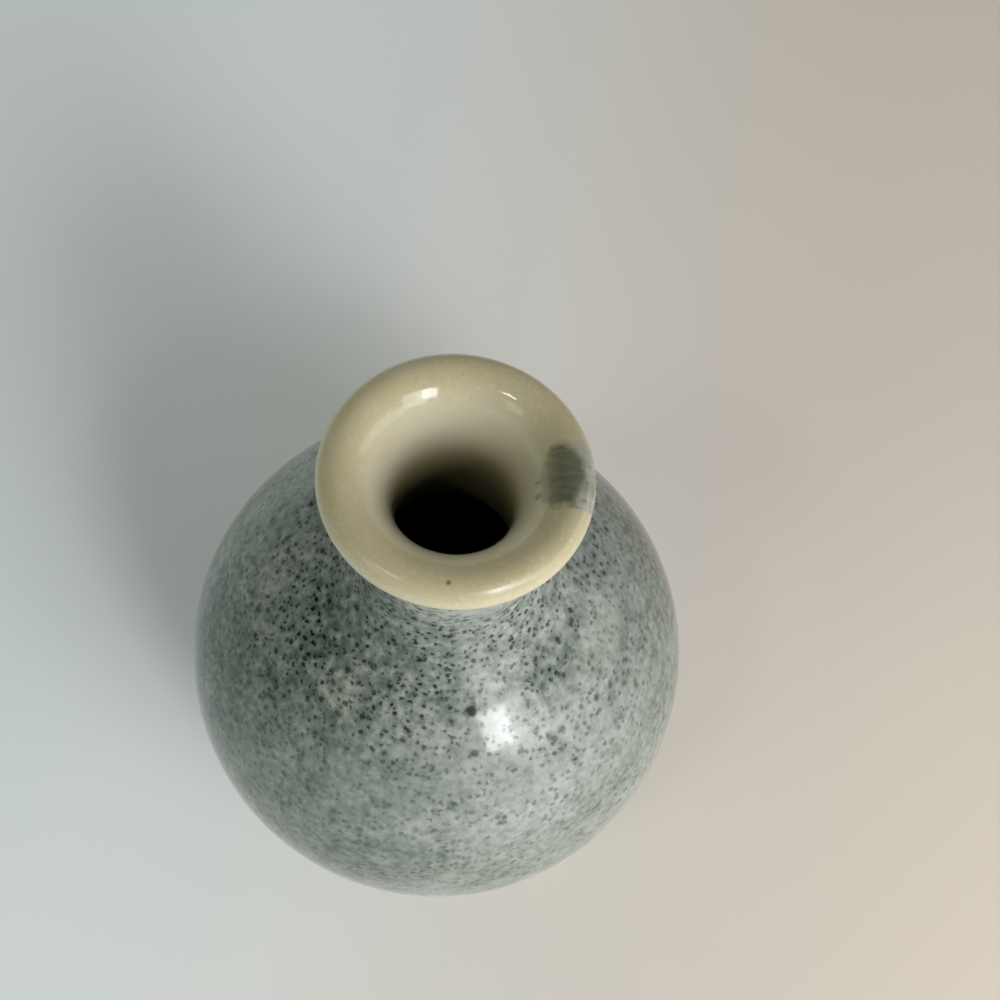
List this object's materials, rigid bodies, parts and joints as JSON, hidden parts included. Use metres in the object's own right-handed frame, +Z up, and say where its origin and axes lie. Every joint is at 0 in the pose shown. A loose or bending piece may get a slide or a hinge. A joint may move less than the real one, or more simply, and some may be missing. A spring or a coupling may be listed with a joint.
{
  "type": "bud vase",
  "caption": "Round bottle-shaped stoneware bud vase: globular belly on a low foot ring, narrow neck flaring to a thick rounded lip, speckled glaze outside, plain glaze over the lip.",
  "frame": {"origin": "middle of the foot plane, where the vase stands", "axes": "+Z up along the axis of the turned form; -Y is the side that faces the viewer in the picture"},
  "size_m": [0.08, 0.08, 0.102],
  "materials": {
    "stoneware": "bare fired clay, sponged smooth",
    "speckled_glaze": "glossy blue-grey glaze with dark iron specks",
    "cream_glaze": "glossy cream glaze",
    "liner_glaze": "glossy liner glaze"
  },
  "bodies": {
    "root": {"foot_ring": "stoneware", "lower_bowl": "stoneware", "shoulder_dome": "stoneware", "trumpet_neck": "stoneware", "speckled_glaze": "speckled_glaze", "lip_glaze": "cream_glaze", "liner_glaze": "liner_glaze"}
  },
  "joints": []
}
